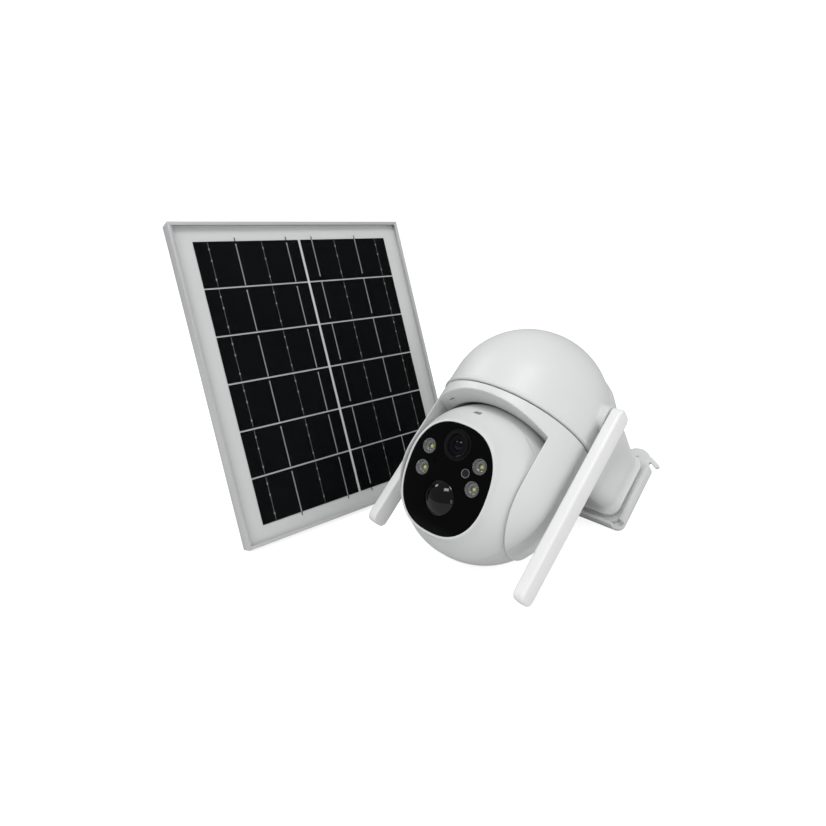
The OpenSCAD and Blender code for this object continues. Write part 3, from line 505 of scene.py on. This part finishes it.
def yoke_field(p, radius):
    x, y, z = p[:, 0], p[:, 1], p[:, 2]
    rho = np.hypot(x, y)
    capsule = np.where(z > 0, rho, np.sqrt(rho * rho + z * z)) - radius
    capsule = soft_max(capsule, z - 41.6, 0.4)
    opening = np.maximum(np.abs(x) - ARM_X - 0.15, np.hypot(x, z - ARCH_Z + ARCH_R) - ARCH_R)
    opening = np.maximum(opening, -60 - z)
    body = soft_max(capsule, -opening, 0.9)
    ball = np.sqrt(rho * rho + z * z) - 52.0
    body = np.maximum(body, -np.maximum(ball, np.abs(x) - ARM_X))
    bowl = np.maximum(np.maximum(ball - 2.2, 37.9 - z), rho - 47.2)
    body = np.minimum(body, np.maximum(bowl, -ball))
    hub = np.maximum(np.maximum(rho - 9, z - 64), 52 - z)
    body = np.minimum(body, np.maximum(hub, 5 - rho))
    return np.maximum(body, -np.maximum(np.maximum(rho - 5, z - 80), 45 - z))


def front_half(p):
    half = soft_max(yoke_field(p, YOKE_R), p[:, 1] - SEAM_Y + 0.06, 0.5)
    c, s = math.cos(math.radians(-32)), math.sin(math.radians(-32))
    u, v = p[:, 0] + 30.3, p[:, 1] + 34.2
    slit = np.maximum(np.maximum(np.abs(c * u + s * v) - 2.6, np.abs(c * v - s * u) - 0.65), p[:, 2] - 36)
    return np.maximum(half, -slit)


def rear_half(p):
    back = np.maximum(p[:, 1] - SEAM_Y, 0)
    taper = np.clip(back / 34, 0, 1) * 0.5 * (1 - step_between(30, 37, p[:, 2]))
    return soft_max(yoke_field(p, YOKE_R - 0.25 - taper), SEAM_Y + 0.06 - p[:, 1], 0.5)


across = ruler(-53.6, 53.6, 1.0, [(-53.6, -36, 0.85), (-34, -26.5, 0.5), (36, 53.6, 0.85)])
upright = ruler(-53.3, 65.3, 1.05, [(30, 43, 0.6)])
front_depth = ruler(-53.6, -8.2, 0.95, [(-37.5, -31, 0.45)])
rear_depth = ruler(-10.6, 53.6, 1.0)
for half, field, depth in (("front", front_half, front_depth), ("rear", rear_half, rear_depth)):
    skin = skin_of(field, across, depth, upright)
    piece("yoke_" + half + "_piece", [skin], YOKE, "yoke", "white_shell", "yoke_" + half + "_shell")


# ---------- head ----------
BALL_R, HEAD_X, WINDOW_Y, WINDOW_Z, HEAD_SEAM = 50.0, 38.25, 43.9, 1.0, 14.0
WINDOW_A, WINDOW_B, WINDOW_N, BEZEL = 28.1, 32.0, 2.4, 1.4
AROUND = np.arange(256) * 2 * math.pi / 256


def oval(grow, y, spread=1.0, centre=WINDOW_Z):
    """The window's outline, grown by grow, as a ring of points at depth y."""
    a, b = (WINDOW_A + grow) * spread, (WINDOW_B + grow) * spread
    c, s = np.cos(AROUND), np.sin(AROUND)
    r = (np.abs(c / a) ** WINDOW_N + np.abs(s / b) ** WINDOW_N) ** (-1 / WINDOW_N)
    return np.stack([r * c, np.full_like(c, y), centre + r * s], 1)


def head_ring(y, inset=0.0):
    """Outline of the head at depth y: the ball, blended into the nose that carries the window."""
    c, s = np.cos(AROUND), np.sin(AROUND)
    ball = math.sqrt(max((BALL_R - inset) ** 2 - y * y, 0.01))
    r = np.full_like(c, ball)
    if y < -20:
        nose = oval(BEZEL - inset, y, 1 + 0.25 * (y + WINDOW_Y + 0.3) / 20.2)
        shift = WINDOW_Z * np.clip((-y - 24) / 16, 0, 1)
        nose_r = np.hypot(nose[:, 0], nose[:, 2] - WINDOW_Z)
        r = soft_max(r, nose_r, 5.0)
        r = r * (1 - np.clip((-y - 40.5) / 3.2, 0, 1)) + nose_r * np.clip((-y - 40.5) / 3.2, 0, 1)
    else:
        shift = 0.0
    r = soft_min(r, (HEAD_X - inset) / np.maximum(np.abs(c), 1e-3), 0.8)
    return np.stack([r * c, np.full_like(c, y), shift + r * s], 1)


front_y = -(WINDOW_Y + 0.3)
rings = [oval(0.15, -WINDOW_Y + 2.0), oval(0.15, front_y + 0.2), oval(0.32, front_y)]
rings += [oval(BEZEL - 0.45, front_y)]
for angle in (30, 60, 90):
    t = math.radians(angle)
    rings.append(oval(BEZEL - 0.45 + 0.45 * math.sin(t), front_y + 0.45 * (1 - math.cos(t))))
rings += [head_ring(y) for y in np.linspace(front_y + 0.9, HEAD_SEAM - 0.25, 84)]
rings += [head_ring(HEAD_SEAM, 0.2)]
rings += [head_ring(y, WALL) for y in np.linspace(HEAD_SEAM, -38, 20)]
rings += [oval(-1.6, -38.5), oval(-1.6, -WINDOW_Y + 2.0)]
head_front = new_object("head_front_piece", at(HEAD, np.concatenate(rings)), loft(rings, closed=True)[1])
slot_place = HEAD @ turned("X", -55)
door_cut = block(-13.3, 13.3, -6.3, 9.3, -60, -40, HEAD)
cut(head_front, [block(-5.2, -0.4, -55, -46.5, -1.6, 1.6, slot_place), door_cut])
dress(head_front, "head", "white_shell", "head_front_shell")



def back_depths(start, pole, steps):
    """Depths from the seam to the ball's rear pole, closer together towards the pole."""
    return start + (pole - start) * np.sin(np.linspace(0, math.pi / 2, steps))


rings = [head_ring(HEAD_SEAM + 0.02, 0.2)]
rings += [head_ring(y) for y in back_depths(HEAD_SEAM + 0.25, BALL_R - 0.01, 48)]
inner = [head_ring(y, WALL) for y in back_depths(HEAD_SEAM + 0.02, BALL_R - WALL + 0.01, 24)]
outer_points, outer_faces = loft(rings)
inner_points, inner_faces = loft(inner)
count, start = len(AROUND), len(outer_points)
open_end = list(range(count))[::-1]
shell_faces = [f for f in outer_faces if f != open_end]
shell_faces += [[i + start for i in f[::-1]] for f in inner_faces if f != open_end]
for i in range(count):
    j = (i + 1) % count
    shell_faces.append([i, j, start + j, start + i])
head_rear = new_object("head_rear_piece", at(HEAD, np.concatenate([outer_points, inner_points])), shell_faces)
voice = [rod(1.0, 30, HEAD @ moved(x, 30, z) @ turned("X", -90), 20)
         for x in (-6, 0, 6) for z in (6, 12, 18)]
cut(head_rear, voice + [block(-13.3, 13.3, -6.3, 14.6, -60, -40, HEAD)])
dress(head_rear, "head", "white_shell", "head_rear_shell")


# ---------- face: window, lens, lamps, sensors ----------
LENS_Z, LAMP_X, LAMP_ROWS, LAMP_R, PIR_Z, PIR_R = 21.0, 17.9, (14.5, 1.3), 4.5, -10.9, 10.0


def circle_points(x, z, r, count=64):
    t = np.arange(count) * 2 * math.pi / count
    return np.stack([x + r * np.cos(t), z + r * np.sin(t)], 1)


def sheet_with_holes(name, outline, holes, y_front, y_back, bevel, place):
    """A plate across y with rounded edges, from a filled outline with holes."""
    curve = bpy.data.curves.new(name, "CURVE")
    curve.dimensions, curve.fill_mode = "2D", "BOTH"
    curve.extrude = ((y_back - y_front) / 2 - bevel) * MM
    curve.bevel_depth, curve.bevel_resolution, curve.offset = bevel * MM, 2, -bevel * MM
    for loop in [outline] + holes:
        spline = curve.splines.new("POLY")
        spline.points.add(len(loop) - 1)
        for point, (u, v) in zip(spline.points, loop):
            point.co = (u * MM, v * MM, 0, 1)
        spline.use_cyclic_u = True
    carrier = bpy.data.objects.new(name, curve)
    bpy.context.scene.collection.objects.link(carrier)
    graph = bpy.context.evaluated_depsgraph_get()
    mesh = bpy.data.meshes.new_from_object(carrier.evaluated_get(graph))
    points = np.array([v.co for v in mesh.vertices]) / MM
    faces = [list(f.vertices) for f in mesh.polygons]
    bpy.data.objects.remove(carrier)
    local = np.stack([points[:, 0], (y_front + y_back) / 2 + points[:, 2], points[:, 1]], 1)
    return new_object(name, at(place, local), faces)


window_line = oval(0, 0)[:, [0, 2]]
window_holes = [circle_points(0, LENS_Z, 9.3), circle_points(0, PIR_Z, PIR_R + 0.15),
                circle_points(10.9, 8, 2.7, 40), circle_points(-10.3, 7.6, 0.6, 20)]
window_holes += [circle_points(x, z, LAMP_R + 0.1, 48) for x in (-LAMP_X, LAMP_X) for z in LAMP_ROWS]
window = sheet_with_holes("face_window_piece", window_line, window_holes, -WINDOW_Y,
                          -WINDOW_Y + 1.98, 0.2, HEAD)
dress(window, "head", "black_window", "face_window")


def facing(x, z):
    """A frame on the face: its z axis points out of the window, with 0 on the window's front."""
    return HEAD @ moved(x, -WINDOW_Y, z) @ ALONG_Y


barrel = lathe([
    (9.2, -3.2), (9.2, -0.35), (9.05, -0.15), (8.85, -0.1), (7.45, -0.15), (7.4, 0.9), (7.2, 1.15),
    (6.9, 1.2), (6.6, 1.1), (6.15, 0.4), (6.05, -1.9), (4.6, -2.1), (4.6, -26.7), (8, -26.7), (8, -24),
    (6, -24), (6, -17), (7.4, -17), (7.4, -3.4)], 96)
piece("lens_barrel_piece", [barrel], facing(0, LENS_Z), "head", "black_plastic", "lens_barrel",
      keen=28, material=BARREL_BLACK)
ELEMENT_R, ELEMENT_H = 3.1, 1.2    # the small domed element in the middle of the lens
sphere_r = (ELEMENT_R ** 2 + ELEMENT_H ** 2) / (2 * ELEMENT_H)
dome = [(sphere_r * math.sin(t), 0.35 - sphere_r * (1 - math.cos(t)))
        for t in np.linspace(math.asin(ELEMENT_R / sphere_r), 0, 14)]
glass = lathe([(5.95, -1.9), (5.95, -0.35), (5.8, -0.2), (5.4, -0.2), (3.5, -0.95), (3.2, -0.95),
               *dome[:-1], (0, dome[-1][1]), (0, -1.9)], 96)
piece("lens_glass_piece", [glass], facing(0, LENS_Z), "head", "lens_glass", "lens_glass")

cups, chips = [], []
for x, z in itertools.product((-LAMP_X, LAMP_X), LAMP_ROWS):
    here = moved(x, -WINDOW_Y, z) @ ALONG_Y
    cup = [(LAMP_R, -8.4), (LAMP_R, -0.35), (4.35, -0.15), (4.2, -0.2), (3.5, -2.0), (3.3, -2.3),
           (2.9, -2.4), (2.75, -2.1), (2.5, -1.95), (2.25, -2.1), (1.95, -3.0), (1.8, -3.6),
           (0, -3.7), (0, -8.4)]
    cups.append(lathe(cup, 56, here))
    bead = [(1.15 * math.cos(t), -3.6 + 0.9 * math.sin(t)) for t in np.linspace(0, math.pi / 2, 8)]
    chips.append(lathe([(1.15, -3.65), *bead[:-1], (0, -2.7), (0, -3.65)], 28, here))
piece("lamp_cups_piece", cups, HEAD, "head", "reflector_metal", "lamp_reflectors", keen=25)
piece("lamp_beads_piece", chips, HEAD, "head", "lamp_phosphor", "lamp_chips")

PIR_H, PIR_WALL = 4.7, 1.0
CAP_R = (PIR_R ** 2 + (PIR_H + 0.2) ** 2) / (2 * (PIR_H + 0.2))


def cap_arc(radius, top, angles):
    return [(radius * math.sin(t), top - radius * (1 - math.cos(t))) for t in angles]


edge = math.asin((PIR_R - 0.4) / CAP_R)
arc = cap_arc(CAP_R, PIR_H, np.linspace(edge, 0, 22))
inner_arc = cap_arc(CAP_R - PIR_WALL, PIR_H - PIR_WALL, np.linspace(0, edge * 0.93, 12))
pir = lathe([(PIR_R + 1, -3.2), (PIR_R + 1, -2.05), (PIR_R, -2.05), (PIR_R, -0.1),
             (PIR_R - 0.12, 0.15), *arc[:-1], (0, arc[-1][1]), (0, inner_arc[0][1]), *inner_arc[1:],
             (PIR_R - 1.2, -3.2)], 96)
piece("pir_lens_piece", [pir], facing(0, PIR_Z), "head", "black_window", "pir_lens", keen=50,
      material=GLOSS_DOME)
eye = lathe([(2.6, -8.5), (2.6, -0.15), (2.52, -0.02), (2.42, 0.0), (2.34, -0.1), (2.3, -0.6),
             (0, -0.6), (0, -8.5)], 48)
piece("light_sensor_piece", [eye], facing(10.9, 8), "head", "sensor_grey", "light_sensor", keen=28)
filter_disc = lathe([(2.28, -0.62), (2.28, -0.4), (2.1, -0.3), (0, -0.22), (0, -0.62)], 48)
piece("light_sensor_filter", [filter_disc], facing(10.9, 8), "head", None, keen=28,
      material=FILTER_GLASS)


# ---------- antennas ----------
def blade_line(half, top, bottom, corner, steps=9):
    """A long outline in (y, z) with rounded corners."""
    line = []
    for cy, cz, start in ((half - corner, top - corner, 0), (corner - half, top - corner, 90),
                          (corner - half, bottom + corner, 180), (half - corner, bottom + corner, 270)):
        for angle in np.radians(np.linspace(start, start + 90, steps)):
            line.append((cy + corner * math.cos(angle), cz + corner * math.sin(angle)))
    return np.array(line)


def antenna(side):
    """A flat blade with soft edges and nearly square ends."""
    rings = []
    half_width, half_thick, tip, corner, soft = 7, 3.5, 118.5, 4.6, 1.5
    for face, angles in ((-1, (0, 22.5, 45, 67.5, 90)), (1, (90, 67.5, 45, 22.5, 0))):
        for angle in np.radians(angles):
            inset = soft * (1 - math.sin(angle))
            half = half_width - inset
            line = blade_line(half, half, inset - tip, corner - inset)
            x = face * (half_thick - soft * (1 - math.cos(angle)))
            rings.append(np.stack([np.full(len(line), side * x), line[:, 0], line[:, 1]], 1))
    return loft(rings)


for side, word in ((-1, "left"), (1, "right")):
    name, hinge = "antenna_" + word, CAMERA @ moved(side * 60, 0, 64.9)
    piece(name + "_piece", [antenna(side)], hinge, name, "white_shell", name, keen=30,
          material=ANTENNA_WHITE_PAINTED_LIT)


# ---------- plates, fixings and the stand: CAD pieces with rounded edges ----------
EDGE_WIDTHS = {
    "rear_cover": 0.5, "wall_bracket": 0.5, "rear_cover_screws": 0.15, "bracket_screw": 0.3,
    "port_flap": 0.3, "power_button": 0.35, "reset_button": 0.3, "card_door": 0.3,
    "frame_rail_left": 0.2, "frame_rail_right": 0.2, "frame_rail_top": 0.2,
    "frame_rail_bottom": 0.2, "rear_crossbar": 0.3, "junction_box": 0.6, "cable_gland": 0.3,
    "stand_socket": 0.4, "stand_collar": 0.5, "stand_stem": 0.5, "stand_foot": 0.8,
    "charge_port": 0.1}
for node, width in EDGE_WIDTHS.items():
    bevelled(node, width)


# ---------- solar cells ----------
def repeater(kind):
    """Geometry nodes that set one small bar or dot on every point of a mesh."""
    group = bpy.data.node_groups.new("repeat_" + kind, "GeometryNodeTree")
    sockets = {}
    for label, socket_type in (("Geometry", "NodeSocketGeometry"), ("Width", "NodeSocketFloat"),
                               ("Height", "NodeSocketFloat"), ("Depth", "NodeSocketFloat"),
                               ("Finish", "NodeSocketMaterial")):
        sockets[label] = group.interface.new_socket(label, in_out="INPUT", socket_type=socket_type).identifier
    group.interface.new_socket("Geometry", in_out="OUTPUT", socket_type="NodeSocketGeometry")
    entry = add(group, "NodeGroupInput").outputs
    if kind == "bar":
        size = add(group, "ShaderNodeCombineXYZ", None,
                   {"X": entry["Width"], "Y": entry["Height"], "Z": entry["Depth"]})
        shape = add(group, "GeometryNodeMeshCube", None, {"Size": size.outputs["Vector"]}).outputs["Mesh"]
    else:
        shape = add(group, "GeometryNodeMeshCylinder", {"Vertices": 16},
                    {"Radius": entry["Width"], "Depth": entry["Depth"]}).outputs["Mesh"]
    placed = add(group, "GeometryNodeInstanceOnPoints", None,
                 {"Points": entry["Geometry"], "Instance": shape})
    real = add(group, "GeometryNodeRealizeInstances", None, {"Geometry": placed.outputs["Instances"]})
    painted = add(group, "GeometryNodeSetMaterial", None,
                  {"Geometry": real.outputs["Geometry"], "Material": entry["Finish"]})
    add(group, "NodeGroupOutput", None, {"Geometry": painted.outputs["Geometry"]})
    return group, sockets


REPEATERS = {kind: repeater(kind) for kind in ("bar", "dot")}


def repeated(name, kind, spots, width, height, depth, finish, place, body):
    """Bars or dots on every spot, in mm in a local frame, as one finished mesh."""
    mesh = bpy.data.meshes.new(name)
    mesh.from_pydata([tuple(v * MM for v in s) for s in spots], [], [])
    made = bpy.data.objects.new(name, mesh)
    bpy.context.scene.collection.objects.link(made)
    group, sockets = REPEATERS[kind]
    modifier = made.modifiers.new("repeat", "NODES")
    modifier.node_group = group
    modifier[sockets["Width"]] = width * MM
    modifier[sockets["Height"]] = height * MM
    modifier[sockets["Depth"]] = depth * MM
    modifier[sockets["Finish"]] = finish
    graph = bpy.context.evaluated_depsgraph_get()
    made.data = bpy.data.meshes.new_from_object(made.evaluated_get(graph))
    made.modifiers.clear()
    turn = Matrix([list(row) for row in place])
    turn.translation *= MM
    made.data.transform(turn)
    return dress(made, body, None, material=finish)


CELL_W, CELL_H, GAP_X, GAP_Y, CELL_TOP = 78.0, 31.2, 2.0, 1.0, -3.5
FINGER_PITCH, FINGERS = 1.48, 21
columns = [-(CELL_W + GAP_X) / 2, (CELL_W + GAP_X) / 2]
rows = [(j - 2.5) * (CELL_H + GAP_Y) for j in range(6)]
fingers = [(x, y - CELL_H / 2 + 0.8 + k * FINGER_PITCH, CELL_TOP + 0.01)
           for x in columns for y in rows for k in range(FINGERS)]
repeated("cell_fingers", "bar", fingers, CELL_W - 1.6, 0.1, 0.02, SILVER_PASTE, PANEL, "panel")
ribbons, stubs, dotted, dots = [], [], [], []
for side, x in zip((-1, 1), columns):
    for k, share in enumerate((0.125, 0.375, 0.625, 0.875)):
        line_x = x - CELL_W / 2 + share * CELL_W
        solid = k in ((1, 3) if side < 0 else (0, 2))
        for y in rows:
            if solid and side < 0:
                ribbons.append((line_x, y - 1.25, CELL_TOP + 0.03))
                dots.append((line_x, y + CELL_H * 0.42, CELL_TOP + 0.03))
            elif solid:
                ribbons.append((line_x, y + 1.9, CELL_TOP + 0.03))
                dots.append((line_x, y - CELL_H * 0.38, CELL_TOP + 0.03))
            else:
                dotted.append((line_x, y, CELL_TOP + 0.02))
                dots += [(line_x, y + CELL_H * (0.5 - s), CELL_TOP + 0.03) for s in (0.17, 0.42, 0.83)]
        for y in (rows[0] - CELL_H / 2 - 1.2, rows[-1] + CELL_H / 2 + 1.2):
            if solid:
                stubs.append((line_x, y, CELL_TOP + 0.03))
repeated("cell_ribbons", "bar", ribbons, 0.6, CELL_H * 0.9, 0.05, TINNED, PANEL, "panel")
repeated("cell_busbars", "bar", dotted, 0.13, CELL_H - 1.2, 0.04, TINNED, PANEL, "panel")
repeated("ribbon_stubs", "bar", stubs, 0.8, 2.6, 0.05, FLUXED, PANEL, "panel")
repeated("solder_dots", "dot", dots, 0.55, 0.0, 0.06, TINNED, PANEL, "panel")


# ---------- stage ----------
def area_light(name, place, look_at, size, power, mirrored=True):
    """A soft box; with mirrored off it lights the object without showing in gloss."""
    data = bpy.data.lights.new(name, "AREA")
    data.shape, data.size, data.size_y = "RECTANGLE", size[0], size[1]
    data.energy = power
    made = bpy.data.objects.new(name, data)
    made.matrix_world = Matrix.Translation(place)
    direction = Matrix.Translation(look_at).translation - made.matrix_world.translation
    made.matrix_world = Matrix.Translation(place) @ direction.to_track_quat("-Z", "Y").to_matrix().to_4x4()
    made.visible_glossy = mirrored
    bpy.context.scene.collection.objects.link(made)
    return made


floor_mesh = bpy.data.meshes.new("floor")
FLOOR, DROP = 6, -0.0006    # half the floor's width, and its depth under the object, in m
floor_mesh.from_pydata([(x * FLOOR, y * FLOOR, DROP) for x, y in ((-1, -1), (1, -1), (1, 1), (-1, 1))],
                       [], [(0, 1, 2, 3)])
floor = bpy.data.objects.new("floor", floor_mesh)
bpy.context.scene.collection.objects.link(floor)
floor_paint = finish_of("white_sweep", "#D8D8D8", 0.9, mottle=0.004, patch_mm=400, grain_mm=3, grain=0.0,
                        **{"Specular IOR Level": 0.0})
paper = floor_paint.node_tree
seen = add(paper, "ShaderNodeLightPath").outputs["Is Camera Ray"]
glow = add(paper, "ShaderNodeMath", {"operation": "MULTIPLY", 1: 0.78}, {0: seen}).outputs["Value"]
sweep = next(n for n in paper.nodes if n.type == "BSDF_PRINCIPLED")
sweep.inputs["Emission Color"].default_value = colour("#FFFFFF")
paper.links.new(glow, sweep.inputs["Emission Strength"])
floor.data.materials.append(floor_paint)

world = bpy.data.worlds.new("studio")
bpy.context.scene.world = world
world.use_nodes = True
sky = world.node_tree
sky.nodes.clear()
seen = add(sky, "ShaderNodeLightPath").outputs["Is Camera Ray"]
mirrored = add(sky, "ShaderNodeLightPath").outputs["Is Glossy Ray"]
gloss = add(sky, "ShaderNodeMapRange", {"To Min": 0.56, "To Max": 0.3}, {"Value": mirrored})
strength = add(sky, "ShaderNodeMapRange", {"To Max": 1.05},
               {"Value": seen, "To Min": gloss.outputs["Result"]})
tone = add(sky, "ShaderNodeBackground", {"Color": colour("#FFFFFF")},
           {"Strength": strength.outputs["Result"]})
add(sky, "ShaderNodeOutputWorld", None, {"Surface": tone.outputs["Background"]})

TARGET = (0.03, -0.05, 0.06)
area_light("left_box", (-0.75, 0.45, 0.8), TARGET, (0.2, 0.42), 2.6)
area_light("high_box", (-0.02, -0.42, 1.05), TARGET, (0.42, 0.26), 3.4)
area_light("key_box", (-0.5, -0.9, 0.85), TARGET, (0.6, 0.4), 2.8, mirrored=False)
area_light("right_strip", (0.4, -1.1, 0.12), TARGET, (0.06, 0.5), 0.5)
area_light("right_fill", (0.95, -0.75, 0.25), TARGET, (0.7, 0.4), 2.0, mirrored=False)

camera_data = bpy.data.cameras.new("camera")
camera_data.sensor_width, camera_data.lens = 36.0, 25.15
camera = bpy.data.objects.new("camera", camera_data)
camera.location = (-0.0075, -0.3840, 0.2053)
camera.rotation_euler = (math.radians(90 - 18.23), 0, 0)
bpy.context.scene.collection.objects.link(camera)
bpy.context.scene.camera = camera
bpy.context.scene.view_settings.view_transform = "Standard"
